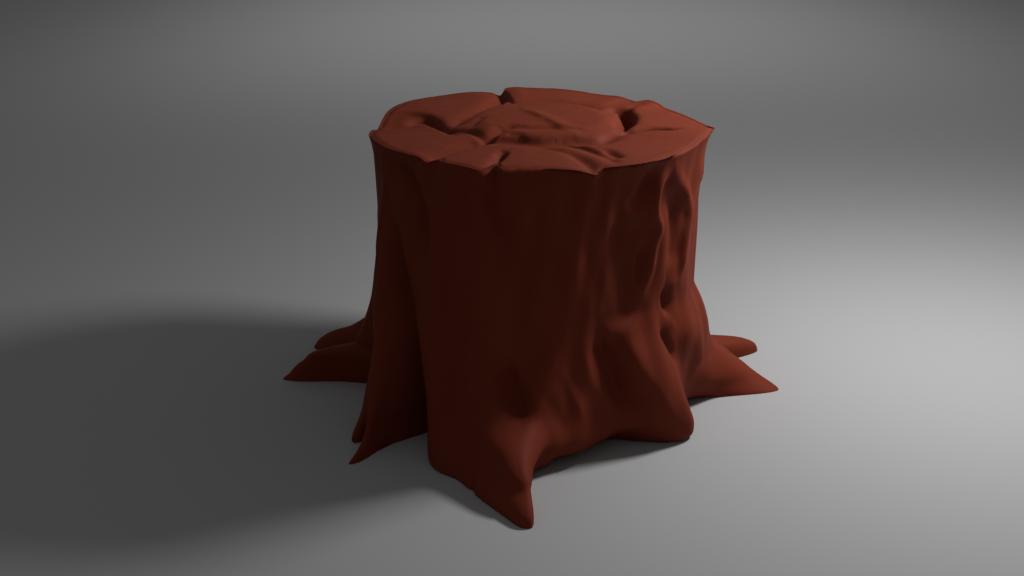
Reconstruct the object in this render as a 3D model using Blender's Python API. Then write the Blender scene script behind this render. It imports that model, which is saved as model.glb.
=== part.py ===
"""A tree stump, one solid piece of wood that stands on its flat underside.

Metres, +Z up. The origin is on the ground under the middle of the trunk. Bearings are in
degrees round the trunk, from +X at 0 through the back at 90 to the front at 270.
"""
import math
from typing import NamedTuple

import bpy
import numpy as np

# Driving dimensions
STUMP_HEIGHT = 0.52
RIM_RADIUS = 0.29
TRUNK_RADIUS = 0.283
LIP_DEPTH = 0.018
LIP_EDGE = 0.003
TOE_TUCK = 0.004
BAY_TUCK = 0.024
BAY_END = 0.05
DISC_RADIUS = 0.145
DISC_CENTRE = (-0.005, 0.045)
DISC_RISE = 0.012

# How finely the surface is laid out before it is thinned
COLUMNS = 420
WALL_ROWS = 84
TOP_ROWS = 26
UNDERSIDE_SHARES = [0.25, 0.5, 0.7, 0.8, 0.86, 0.9, 0.94, 0.97]
KEPT_TRIANGLES = 9600
LEVEL_TOLERANCE = 0.0008

WOOD_COLOUR = (0.16, 0.028, 0.014, 1.0)
WOOD_ROUGHNESS = 0.62

# Trunk: height and how far it stands off its even radius
TRUNK_PROFILE = [
    (0.00, 0.001), (0.06, 0.000), (0.12, 0.001), (0.18, 0.001), (0.24, -0.002),
    (0.32, -0.005), (0.40, -0.004), (0.46, 0.000), (0.52, 0.003),
]

# Trunk: bearing and how far it is out of round
TRUNK_LOBES = [
    (10, 0.000), (60, 0.004), (100, -0.002), (140, 0.012), (178, 0.012), (196, 0.016),
    (228, 0.000), (246, 0.012), (275, -0.002), (300, -0.010), (325, -0.002), (345, -0.003),
]


class Side(NamedTuple):
    """One side of a root: its half angle by height, and how blunt it is."""
    angle: list
    power: float


class Root(NamedTuple):
    """A root's crest as bearing by height and radius by height, and its two sides."""
    name: str
    bearing: list
    crest: list
    before: Side
    after: Side


ROOTS = [
    Root("front",
         [(0.00, 265.6), (0.02, 265.4), (0.04, 265.0), (0.07, 263.4), (0.10, 261.0), (0.127, 258.0),
          (0.16, 256.0), (0.22, 252.0), (0.36, 247.0)],
         [(0.00, 0.514), (0.02, 0.500), (0.04, 0.472), (0.065, 0.440), (0.09, 0.404), (0.105, 0.376),
          (0.12, 0.345), (0.14, 0.322), (0.17, 0.310), (0.22, 0.301), (0.36, 0.286)],
         Side([(0.00, 17.0), (0.12, 13.0)], 1.1),
         Side([(0.00, 1.2), (0.03, 1.6), (0.06, 2.4), (0.10, 3.6), (0.16, 6.0)], 2.0)),
    Root("front lobe",
         [(0.00, 249.0), (0.10, 247.5), (0.20, 242.0), (0.30, 235.0), (0.42, 226.0)],
         [(0.00, 0.350), (0.05, 0.343), (0.12, 0.331), (0.20, 0.316), (0.30, 0.303), (0.44, 0.290)],
         Side([(0.00, 13.0)], 4.0),
         Side([(0.00, 17.0)], 4.0)),
    Root("front web",
         [(0.00, 265.5), (0.05, 266.0), (0.10, 267.0), (0.15, 269.5), (0.20, 272.5), (0.26, 275.0)],
         [(0.00, 0.364), (0.05, 0.352), (0.10, 0.332), (0.15, 0.313), (0.20, 0.297), (0.26, 0.284)],
         Side([(0.00, 6.0)], 2.0),
         Side([(0.00, 19.0), (0.05, 18.0), (0.10, 15.5), (0.15, 13.0), (0.20, 11.0)], 1.05)),
    Root("front left",
         [(0.00, 222.0), (0.03, 220.6), (0.06, 218.5), (0.10, 216.0), (0.20, 211.0), (0.34, 206.0)],
         [(0.00, 0.456), (0.02, 0.440), (0.04, 0.416), (0.07, 0.394), (0.10, 0.376), (0.15, 0.354),
          (0.22, 0.328), (0.30, 0.309), (0.42, 0.290)],
         Side([(0.00, 4.5), (0.04, 7.0), (0.10, 12.0)], 1.5),
         Side([(0.00, 2.6), (0.10, 5.0)], 2.0)),
    Root("front left knob",
         [(0.00, 215.7), (0.05, 214.5), (0.12, 212.0)],
         [(0.00, 0.411), (0.03, 0.405), (0.05, 0.385), (0.09, 0.352), (0.14, 0.320), (0.22, 0.284)],
         Side([(0.00, 8.0)], 1.5),
         Side([(0.00, 2.8), (0.06, 5.0)], 2.0)),
    Root("left",
         [(0.00, 174.0), (0.05, 172.0), (0.10, 171.0), (0.24, 172.0)],
         [(0.00, 0.498), (0.02, 0.480), (0.045, 0.460), (0.062, 0.430), (0.074, 0.385), (0.11, 0.335),
          (0.18, 0.310), (0.28, 0.290)],
         Side([(0.00, 6.0)], 1.5),
         Side([(0.00, 2.6), (0.06, 4.5), (0.16, 8.0)], 1.9)),
    Root("back left",
         [(0.00, 155.0), (0.10, 153.0), (0.24, 150.0)],
         [(0.00, 0.503), (0.03, 0.480), (0.052, 0.440), (0.068, 0.405), (0.10, 0.360), (0.16, 0.320),
          (0.26, 0.293)],
         Side([(0.00, 7.0), (0.10, 10.0)], 1.5),
         Side([(0.00, 5.5)], 1.5)),
    Root("back",
         [(0.00, 116.0), (0.04, 114.0), (0.10, 113.5), (0.26, 109.0)],
         [(0.00, 0.468), (0.03, 0.438), (0.08, 0.378), (0.13, 0.330), (0.20, 0.302), (0.28, 0.284)],
         Side([(0.00, 7.0), (0.12, 11.0)], 1.5),
         Side([(0.00, 6.0), (0.12, 9.0)], 1.6)),
    Root("back buttress",
         [(0.00, 92.0), (0.10, 93.0), (0.30, 96.0)],
         [(0.00, 0.330), (0.05, 0.318), (0.14, 0.300), (0.24, 0.290), (0.34, 0.283)],
         Side([(0.00, 8.0)], 2.0),
         Side([(0.00, 6.0)], 2.0)),
    Root("back right",
         [(0.00, 64.0), (0.04, 67.0), (0.10, 68.5), (0.28, 73.0)],
         [(0.00, 0.478), (0.03, 0.452), (0.07, 0.394), (0.12, 0.343), (0.19, 0.308), (0.30, 0.285)],
         Side([(0.00, 7.0), (0.12, 11.0)], 1.5),
         Side([(0.00, 6.5), (0.12, 10.0)], 1.6)),
    Root("right back",
         [(0.00, 23.5), (0.05, 24.5), (0.16, 27.0)],
         [(0.00, 0.490), (0.022, 0.476), (0.033, 0.446), (0.042, 0.400), (0.060, 0.350), (0.10, 0.315),
          (0.18, 0.288)],
         Side([(0.00, 3.6), (0.06, 6.0)], 1.8),
         Side([(0.00, 5.0), (0.06, 8.0)], 1.8)),
    Root("right",
         [(0.00, 1.0), (0.02, 5.0), (0.05, 7.5), (0.08, 8.0), (0.12, 6.0), (0.16, 3.0), (0.20, -1.0),
          (0.24, -6.0)],
         [(0.00, 0.460), (0.02, 0.424), (0.04, 0.398), (0.055, 0.378), (0.073, 0.357), (0.094, 0.334),
          (0.118, 0.322), (0.15, 0.316), (0.18, 0.308), (0.20, 0.300), (0.235, 0.284)],
         Side([(0.00, 5.0), (0.02, 10.0), (0.05, 16.0), (0.10, 22.0), (0.17, 26.0)], 1.9),
         Side([(0.00, 4.0), (0.05, 6.0), (0.10, 9.0)], 1.5)),
    Root("front right",
         [(0.00, 321.0), (0.03, 320.0), (0.06, 316.0), (0.10, 311.0), (0.14, 307.0), (0.20, 301.0),
          (0.27, 294.0)],
         [(0.00, 0.333), (0.03, 0.337), (0.06, 0.333), (0.10, 0.321), (0.14, 0.308), (0.20, 0.295),
          (0.28, 0.284)],
         Side([(0.00, 13.0), (0.06, 12.0), (0.14, 9.5)], 1.7),
         Side([(0.00, 10.5), (0.06, 10.5), (0.10, 12.5), (0.20, 14.5)], 2.5)),
]


class TipTurn(NamedTuple):
    """Where a root's tip turns aside, over what half angle and length, and by how many degrees."""
    bearing: float
    half_angle: float
    start: float
    length: float
    turn: float


# The front root's tip
TIP_TURNS = [TipTurn(265.0, 9.0, 0.400, 0.100, 1.9)]


class Crease(NamedTuple):
    """A ridge or groove: its path, its half width before and after the path, and its rise."""
    path: list
    before: float
    after: float
    rise: float


# Folds of the trunk, with paths as (bearing, height)
FOLDS = [
    # Valley beside the front lobe, deepest at the foot
    Crease([(211, 0.46), (218, 0.36), (222, 0.28), (226, 0.21), (228, 0.12), (228, 0.00), (228, -0.10)],
           0.020, 0.011, -0.016),
    Crease([(227, 0.20), (227.5, 0.12), (226, 0.02), (226, -0.10)], 0.016, 0.014, -0.032),
    # Short fold that overhangs under the rim, front left
    Crease([(214, 0.50), (224, 0.48), (229, 0.44), (230, 0.40)], 0.018, 0.008, -0.013),
    # Thin ribs on the left side
    Crease([(204, 0.47), (204, 0.34), (205, 0.24)], 0.010, 0.010, 0.006),
    Crease([(211, 0.42), (212, 0.33), (213, 0.22)], 0.008, 0.008, -0.007),
    # Dent high on the front lobe, and the long soft folds to its right
    Crease([(252, 0.47), (255, 0.425), (258, 0.37)], 0.014, 0.014, -0.006),
    Crease([(292, 0.50), (284, 0.455), (283, 0.40), (281, 0.34), (278, 0.25), (277, 0.17)],
           0.012, 0.014, 0.004),
    Crease([(303, 0.494), (295, 0.485), (292.6, 0.43), (294, 0.37), (292, 0.314), (290.5, 0.255),
            (295, 0.20), (301.5, 0.135), (306, 0.095)], 0.012, 0.013, 0.0035),
    # Ridges and hollows of the right side, up to the rim
    Crease([(309, 0.498), (305, 0.476), (301, 0.447), (299, 0.42)], 0.014, 0.012, -0.010),
    Crease([(305.3, 0.38), (305.3, 0.345), (304.9, 0.305)], 0.012, 0.012, -0.009),
    Crease([(320, 0.496), (314, 0.472), (312.3, 0.43), (315, 0.395), (313, 0.366), (311.8, 0.32),
            (309, 0.28)], 0.012, 0.010, 0.010),
    Crease([(321, 0.48), (328.5, 0.415), (331, 0.37), (330, 0.315), (329, 0.27)], 0.016, 0.014, 0.009),
    Crease([(319, 0.45), (322.5, 0.40), (323.5, 0.35), (322.5, 0.30)], 0.018, 0.018, -0.010),
    Crease([(351, 0.53), (350, 0.48), (346, 0.43)], 0.030, 0.030, 0.009),
    # Pocket over the right root, and the narrow hollow under it
    Crease([(318, 0.29), (318, 0.258), (321, 0.222)], 0.013, 0.015, -0.022),
    Crease([(315, 0.205), (319, 0.17), (323, 0.13), (324, 0.09)], 0.008, 0.012, -0.011),
    # Hollow beside the front root, and the two folds of the web with a shallow hollow before them
    Crease([(260.5, 0.18), (262.8, 0.148), (264.4, 0.12), (265, 0.09)], 0.023, 0.017, -0.024),
    Crease([(271, 0.135), (274, 0.10), (277, 0.07)], 0.011, 0.011, -0.003),
    Crease([(277, 0.17), (280, 0.129), (282, 0.105), (283, 0.08)], 0.010, 0.008, 0.003),
    Crease([(286.5, 0.21), (288.5, 0.164), (293, 0.126), (301, 0.075)], 0.016, 0.009, 0.004),
    # Hollow between the front roots, deepest beside the web, and the bay under it
    Crease([(292.5, 0.225), (296, 0.175), (300.5, 0.122), (306, 0.066)], 0.018, 0.026, -0.017),
    Crease([(272, 0.0), (286, 0.005), (298, 0.02), (308, 0.02)], 0.032, 0.035, -0.024),
    # Broad hollow that runs down the front right of the trunk
    Crease([(302, 0.10), (302, 0.20), (300, 0.28), (299, 0.36)], 0.045, 0.045, -0.006),
]

# Rim: bearing and how far it stands off its even radius and height
RIM_OUTLINE = [
    (0, 0.004), (14, -0.004), (30, -0.003), (48, -0.005), (66, -0.004), (82, 0.000), (100, -0.002),
    (120, -0.002), (134, 0.007), (146, 0.014), (160, 0.013), (174, 0.006), (190, 0.014), (206, 0.014),
    (222, 0.006), (236, -0.002), (248, -0.004), (268, -0.013), (280, -0.006), (292, -0.002),
    (306, 0.004), (322, 0.000), (336, 0.002), (352, 0.012),
]
RIM_RISE = [
    (0, 0.000), (14, -0.004), (30, -0.007), (48, -0.008), (64, -0.005), (78, 0.000), (96, 0.002),
    (118, 0.000), (134, 0.002), (148, 0.004), (164, 0.000), (176, -0.008), (190, 0.000), (210, 0.000),
    (226, 0.002), (240, 0.000), (262, 0.002), (280, 0.001), (300, 0.001), (330, 0.002), (350, 0.007),
]


class Split(NamedTuple):
    """A split that cuts into the rim."""
    bearing: float
    half_angle: float
    depth: float


class Point(NamedTuple):
    """A splinter of the rim that stands out and hangs down."""
    bearing: float
    half_angle: float
    out: float
    drop: float


RIM_SPLITS = [
    Split(43, 3.0, 0.006),
    Split(109, 2.0, 0.016),
    Split(178.5, 2.4, 0.030),
    Split(232.5, 1.8, 0.016),
    Split(255.5, 1.8, 0.032),
    Split(289.5, 2.6, 0.010),
]
RIM_POINTS = [
    Point(189, 5.0, 0.004, 0.004),
    Point(230, 2.2, 0.004, 0.006),
    Point(251, 3.4, 0.012, 0.005),
    Point(285.5, 4.0, 0.014, 0.007),
    Point(355, 5.0, 0.006, 0.000),
]

# Sawn face, with paths as (x, y)
TOP_CREASES = [
    # Split from the left edge
    Crease([(-0.300, -0.006), (-0.255, 0.022), (-0.216, 0.012), (-0.175, -0.030), (-0.130, -0.060)],
           0.010, 0.010, -0.022),
    # Splits from the front edge
    Crease([(-0.183, -0.224), (-0.160, -0.190), (-0.122, -0.135), (-0.096, -0.095)], 0.010, 0.010, -0.010),
    Crease([(-0.074, -0.270), (-0.072, -0.212), (-0.088, -0.150)], 0.010, 0.010, -0.010),
    Crease([(0.084, -0.290), (0.067, -0.224), (0.030, -0.165), (-0.020, -0.140)], 0.010, 0.010, -0.005),
    Crease([(0.116, -0.240), (0.110, -0.190), (0.080, -0.150)], 0.012, 0.012, -0.005),
    Crease([(0.116, -0.190), (0.133, -0.205)], 0.010, 0.010, -0.006),
    # Pit and split on the right
    Crease([(0.122, 0.085), (0.146, 0.105), (0.160, 0.060), (0.157, 0.000), (0.138, -0.045)],
           0.015, 0.017, -0.036),
    Crease([(0.145, -0.051), (0.197, -0.058), (0.228, -0.054)], 0.009, 0.009, -0.014),
    # Splits from the back edge
    Crease([(0.205, 0.190), (0.160, 0.125), (0.140, 0.085)], 0.012, 0.012, -0.007),
    Crease([(-0.092, 0.262), (-0.060, 0.205), (-0.105, 0.130), (-0.140, 0.050), (-0.165, -0.010)],
           0.014, 0.016, -0.010),
    # Ledge round the heartwood
    Crease([(0.150, -0.060), (0.105, -0.088), (0.040, -0.110), (-0.040, -0.110), (-0.100, -0.100)],
           0.014, 0.014, -0.012),
    Crease([(-0.056, 0.190), (0.010, 0.208), (0.085, 0.190), (0.128, 0.120)], 0.014, 0.014, -0.008),
    # Ridges of the heartwood
    Crease([(-0.018, 0.086), (0.017, 0.063), (0.049, 0.005)], 0.014, 0.014, 0.005),
    Crease([(-0.096, -0.070), (-0.076, -0.023), (-0.024, 0.001), (0.048, -0.013), (0.090, -0.040)],
           0.014, 0.014, -0.006),
]


def smooth_curve(knots, at):
    """Cubic curve through (position, value) knots, level beyond the two ends."""
    if len(knots) == 1:
        return np.full(np.shape(at), knots[0][1], float)
    x = np.array([k[0] for k in knots], float)
    y = np.array([k[1] for k in knots], float)
    at = np.clip(at, x[0], x[-1])
    slope = np.gradient(y, x)
    i = np.clip(np.searchsorted(x, at) - 1, 0, len(x) - 2)
    gap = x[i + 1] - x[i]
    t = (at - x[i]) / gap
    rise = t * t * (3 - 2 * t)
    enter = t * (1 - t) ** 2
    leave = t * t * (t - 1)
    return y[i] + (y[i + 1] - y[i]) * rise + gap * (slope[i] * enter + slope[i + 1] * leave)


def ring_curve(knots, bearing):
    """Smooth curve by bearing that closes on itself."""
    before = [(b - 360, v) for b, v in knots[-3:]]
    after = [(b + 360, v) for b, v in knots[:3]]
    return smooth_curve(before + knots + after, np.mod(bearing, 360))


def turn_from(bearing, centre):
    """Degrees from a bearing to another, between -180 and 180."""
    return np.mod(bearing - centre + 180, 360) - 180


def smooth_step(t):
    """Soft step from 0 to 1."""
    t = np.clip(t, 0, 1)
    return t * t * (3 - 2 * t)


def crease_rise(x, y, crease):
    """How much a crease lifts or sinks the surface at each (x, y)."""
    points = list(enumerate(crease.path))
    steps = 6 * (len(points) - 1)
    along = np.linspace(0, len(points) - 1, steps + 1)
    path_x = smooth_curve([(i, p[0]) for i, p in points], along)
    path_y = smooth_curve([(i, p[1]) for i, p in points], along)
    nearest = np.full(np.shape(x), np.inf)
    side = np.zeros(np.shape(x))
    place = np.zeros(np.shape(x))
    for i in range(steps):
        step_x = path_x[i + 1] - path_x[i]
        step_y = path_y[i + 1] - path_y[i]
        t = ((x - path_x[i]) * step_x + (y - path_y[i]) * step_y) / (step_x ** 2 + step_y ** 2)
        t = np.clip(t, 0, 1)
        away_x = x - path_x[i] - t * step_x
        away_y = y - path_y[i] - t * step_y
        distance = np.hypot(away_x, away_y)
        closer = distance < nearest
        nearest = np.where(closer, distance, nearest)
        side = np.where(closer, step_x * away_y - step_y * away_x, side)
        place = np.where(closer, (i + t) / steps, place)
    width = np.where(side > 0, crease.after, crease.before)
    ends = smooth_step(place / 0.2) * smooth_step((1 - place) / 0.2)
    return crease.rise * (0.35 + 0.65 * ends) * np.exp(-(nearest / width) ** 2)


def trunk_radius(height):
    """Even radius of the trunk by height."""
    return TRUNK_RADIUS + smooth_curve(TRUNK_PROFILE, height)


def root_reach(bearing, height, root):
    """How far one root stands out of the trunk."""
    turn = turn_from(bearing, smooth_curve(root.bearing, height))
    reach = np.maximum(smooth_curve(root.crest, height) - trunk_radius(height), 0)
    angle_before = smooth_curve(root.before.angle, height)
    angle_after = smooth_curve(root.after.angle, height)
    angle = np.where(turn < 0, angle_before, angle_after)
    power = np.where(turn < 0, root.before.power, root.after.power)
    roundness = 0.12
    away = np.hypot(turn / angle, roundness) - roundness
    return reach * np.exp(-away ** power)


def all_roots(bearing, height):
    """Roots merged so that neighbours melt into each other."""
    total = sum(root_reach(bearing, height, root) ** 3 for root in ROOTS)
    return np.cbrt(total)


def grain_waves(bearing, height):
    """Soft unevenness that runs down the wood."""
    turn = np.radians(bearing)
    waves = 0.0012 * np.sin(23 * turn + 9 * height + 2 * np.sin(11 * height + 3 * turn))
    waves += 0.0010 * np.sin(37 * turn - 14 * height + 1.3 + 2 * np.sin(7 * height))
    waves += 0.0014 * np.sin(9 * turn + 21 * height + 0.7)
    return waves


def wall_radius(bearing, height, roots):
    """Trunk, roots and folds, without the lip of the rim and the tuck of the foot."""
    arc_per_degree = math.radians(TRUNK_RADIUS)
    radius = trunk_radius(height) + ring_curve(TRUNK_LOBES, bearing) + roots
    for fold in FOLDS:
        centre = fold.path[0][0]
        path = [(turn_from(b, centre) * arc_per_degree, h) for b, h in fold.path]
        across = turn_from(bearing, centre) * arc_per_degree
        radius = radius + crease_rise(across, height, fold._replace(path=path))
    return radius + grain_waves(bearing, height)


def rim_shape(bearing):
    """Radius and height of the sawn edge."""
    radius = RIM_RADIUS + ring_curve(RIM_OUTLINE, bearing)
    height = STUMP_HEIGHT + ring_curve(RIM_RISE, bearing)
    for split in RIM_SPLITS:
        radius = radius - split.depth * np.exp(-(turn_from(bearing, split.bearing) / split.half_angle) ** 2)
    for point in RIM_POINTS:
        share = np.exp(-np.abs(turn_from(bearing, point.bearing) / point.half_angle) ** 1.5)
        radius = radius + point.out * share
        height = height - point.drop * share
    return radius, height


def top_relief(x, y):
    """Heartwood disc, splits and ledges of the sawn face."""
    away = np.hypot(x - DISC_CENTRE[0], y - DISC_CENTRE[1]) / DISC_RADIUS
    relief = DISC_RISE * smooth_step(1.15 - away) * (1 - 0.3 * away)
    for crease in TOP_CREASES:
        relief = relief + crease_rise(x, y, crease)
    return relief


def column_bearings():
    """Bearings set closer together where the foot of the stump runs in and out."""
    toe_height = 0.03
    extra_step = 0.0012
    fine = np.linspace(0, 360, 2881)
    turn = np.radians(fine)
    radius = trunk_radius(toe_height) + all_roots(fine, np.full(fine.shape, toe_height))
    step = np.hypot(np.diff(radius * np.cos(turn)), np.diff(radius * np.sin(turn)))
    travel = np.concatenate([[0], np.cumsum(step + extra_step)])
    return np.interp(np.linspace(0, travel[-1], COLUMNS, endpoint=False), travel, fine)


def row_shares():
    """Heights of the wall's rows as shares of the rim's height, closer at the foot and the rim."""
    t = np.linspace(0, 1, WALL_ROWS)
    return 0.42 * t ** 1.9 + 0.58 * t * (1 - (1 - t) ** 1.25)


def tip_turn(bearing, radius):
    """Degrees by which the tips of the roots turn aside."""
    total = np.zeros(np.shape(radius))
    for tip in TIP_TURNS:
        near = np.exp(-(turn_from(bearing, tip.bearing) / tip.half_angle) ** 4)
        total = total + tip.turn * near * smooth_step((radius - tip.start) / tip.length)
    return total


def ring_points(bearing, radius, height):
    """Points of one ring, with the tips of the roots turned aside."""
    turn = np.radians(bearing + tip_turn(bearing, radius))
    return np.stack([radius * np.cos(turn), radius * np.sin(turn), height], axis=1)


def wall_rings(bearing):
    """Rings from the underside's edge up to the rim."""
    rim_radius, rim_height = rim_shape(bearing)
    rings = []
    for share in row_shares():
        height = rim_height * share
        roots = all_roots(bearing, height)
        radius = wall_radius(bearing, height, roots)
        lip = np.exp(-((rim_height - height) / LIP_DEPTH) ** 1.1)
        radius = radius + (rim_radius - radius) * lip
        tuck = TOE_TUCK + BAY_TUCK * np.exp(-(roots / BAY_END) ** 2)
        under = np.clip(1 - height / tuck, 0, 1)
        radius = radius - tuck * (1 - np.sqrt(1 - under ** 2))
        rings.append(ring_points(bearing, radius, height))
    return rings


def top_rings(rim):
    """Rings of the sawn face from the rim to its middle."""
    rings = []
    for t in np.linspace(0, 1, TOP_ROWS + 1)[1:-1]:
        share = 1 - t ** 1.15
        x = rim[:, 0] * share
        y = rim[:, 1] * share
        height = STUMP_HEIGHT + (rim[:, 2] - STUMP_HEIGHT) * smooth_step((share - 0.45) / 0.55)
        height = height - LIP_EDGE * (1 - smooth_step((1 - share) / 0.05))
        height = height + top_relief(x, y) * (1 - share ** 12)
        rings.append(np.stack([x, y, height], axis=1))
    return rings


def underside_rings(bearing, foot):
    """Rings of the flat underside from its middle to its edge."""
    level = np.zeros(len(foot))
    radius = np.hypot(foot[:, 0], foot[:, 1])
    return [ring_points(bearing, radius * share, level) for share in UNDERSIDE_SHARES]


def loft(rings, first_middle, last_middle):
    """Closed skin through rings of equal count, with a point in the middle of each end."""
    count = len(rings[0])
    points = np.concatenate([[first_middle]] + rings + [[last_middle]])
    faces = []
    last = len(points) - 1
    for i in range(count):
        j = (i + 1) % count
        faces.append((0, 1 + j, 1 + i))
        for row in range(len(rings) - 1):
            low, high = 1 + row * count, 1 + (row + 1) * count
            faces.append((low + i, low + j, high + j, high + i))
        top = 1 + (len(rings) - 1) * count
        faces.append((top + i, top + j, last))
    mesh = bpy.data.meshes.new("stump")
    mesh.from_pydata(points.tolist(), [], faces)
    mesh.update()
    return mesh


def stump_mesh():
    """The whole skin, laid out finely."""
    bearing = column_bearings()
    wall = wall_rings(bearing)
    top = top_rings(wall[-1])
    under = underside_rings(bearing, wall[0])
    middle_height = STUMP_HEIGHT + float(top_relief(np.array([0.0]), np.array([0.0]))[0])
    return loft(under + wall + top, (0, 0, 0), (0, 0, middle_height))


def thinned(obj):
    """The object's mesh with fewer triangles, its underside kept level."""
    decimate = obj.modifiers.new("thin", "DECIMATE")
    decimate.ratio = KEPT_TRIANGLES / (2 * len(obj.data.polygons))
    depsgraph = bpy.context.evaluated_depsgraph_get()
    mesh = bpy.data.meshes.new_from_object(obj.evaluated_get(depsgraph))
    obj.modifiers.remove(decimate)
    for vertex in mesh.vertices:
        if vertex.co.z < LEVEL_TOLERANCE:
            vertex.co.z = 0.0
    return mesh


def wood_material():
    """Matt wood, dark and reddish."""
    material = bpy.data.materials.new("stump wood")
    material.use_nodes = True
    shader = material.node_tree.nodes["Principled BSDF"]
    shader.inputs["Base Color"].default_value = WOOD_COLOUR
    shader.inputs["Roughness"].default_value = WOOD_ROUGHNESS
    shader.inputs["Metallic"].default_value = 0.0
    return material


def add_stump(collection):
    """The stump's object, with its thinned mesh and its material."""
    stump = bpy.data.objects.new("stump", stump_mesh())
    collection.objects.link(stump)
    full = stump.data
    stump.data = thinned(stump)
    bpy.data.meshes.remove(full)
    stump.data.name = "stump"
    stump.data.materials.append(wood_material())
    stump.data.shade_smooth()
    return stump


for old in list(bpy.data.objects):
    bpy.data.objects.remove(old)
tree_stump = bpy.data.collections.new("tree stump")
bpy.context.scene.collection.children.link(tree_stump)
add_stump(tree_stump)
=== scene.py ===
import math

import bpy
import numpy as np
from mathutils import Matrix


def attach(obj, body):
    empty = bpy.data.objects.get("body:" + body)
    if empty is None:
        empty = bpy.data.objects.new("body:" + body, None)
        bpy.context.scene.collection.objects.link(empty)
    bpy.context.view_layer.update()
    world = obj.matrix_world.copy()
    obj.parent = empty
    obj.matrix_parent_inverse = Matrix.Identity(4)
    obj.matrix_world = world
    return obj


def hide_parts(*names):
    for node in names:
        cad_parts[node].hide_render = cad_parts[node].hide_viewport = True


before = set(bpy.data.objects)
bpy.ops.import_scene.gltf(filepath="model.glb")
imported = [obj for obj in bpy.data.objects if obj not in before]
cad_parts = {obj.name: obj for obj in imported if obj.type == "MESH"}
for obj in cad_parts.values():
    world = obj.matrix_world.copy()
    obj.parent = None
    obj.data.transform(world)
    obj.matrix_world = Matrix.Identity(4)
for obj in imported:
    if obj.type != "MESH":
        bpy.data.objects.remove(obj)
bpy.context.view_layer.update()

# The trunk: the base of a broadleaved tree, one piece of wood with its roots and its sawn face.
# It grew a little out of round, its bark is gone, and the wood under it has weathered smooth.
# Metres, with the origin on the ground under its middle. Bearings are in degrees from +X.
STUMP_HEIGHT = 0.52
TRUNK_RADIUS = 0.283
TRUNK_PROFILE = [
    (0.00, 0.001), (0.06, 0.000), (0.12, 0.001), (0.18, 0.001), (0.24, -0.002),
    (0.32, -0.005), (0.40, -0.004), (0.46, 0.000), (0.52, 0.003),
]
TRUNK_LOBES = [
    (10, 0.000), (60, 0.004), (100, -0.002), (140, 0.012), (178, 0.012), (196, 0.016),
    (224, 0.000), (242, 0.010), (275, -0.002), (300, -0.010), (325, -0.002), (345, -0.003),
]


def smooth_curve(knots, at):
    """Cubic curve through (position, value) knots, level beyond the two ends."""
    x = np.array([k[0] for k in knots], float)
    y = np.array([k[1] for k in knots], float)
    if len(x) == 1:
        return np.full(np.shape(at), y[0])
    at = np.clip(at, x[0], x[-1])
    slope = np.gradient(y, x)
    i = np.clip(np.searchsorted(x, at) - 1, 0, len(x) - 2)
    gap = x[i + 1] - x[i]
    t = (at - x[i]) / gap
    rise = t * t * (3 - 2 * t)
    enter = t * (1 - t) ** 2
    leave = t * t * (t - 1)
    return y[i] + (y[i + 1] - y[i]) * rise + gap * (slope[i] * enter + slope[i + 1] * leave)


def ring_curve(knots, bearing):
    """Smooth curve by bearing that closes on itself."""
    before = [(b - 360, v) for b, v in knots[-3:]]
    after = [(b + 360, v) for b, v in knots[:3]]
    return smooth_curve(before + knots + after, np.mod(bearing, 360))


def turn_from(bearing, centre):
    """Degrees from a bearing to another, between -180 and 180."""
    return np.mod(bearing - centre + 180, 360) - 180


def smooth_step(t):
    """Soft step from 0 to 1."""
    t = np.clip(t, 0, 1)
    return t * t * (3 - 2 * t)


def trunk_radius(height):
    """Even radius of the trunk by height."""
    return TRUNK_RADIUS + smooth_curve(TRUNK_PROFILE, height)


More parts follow.
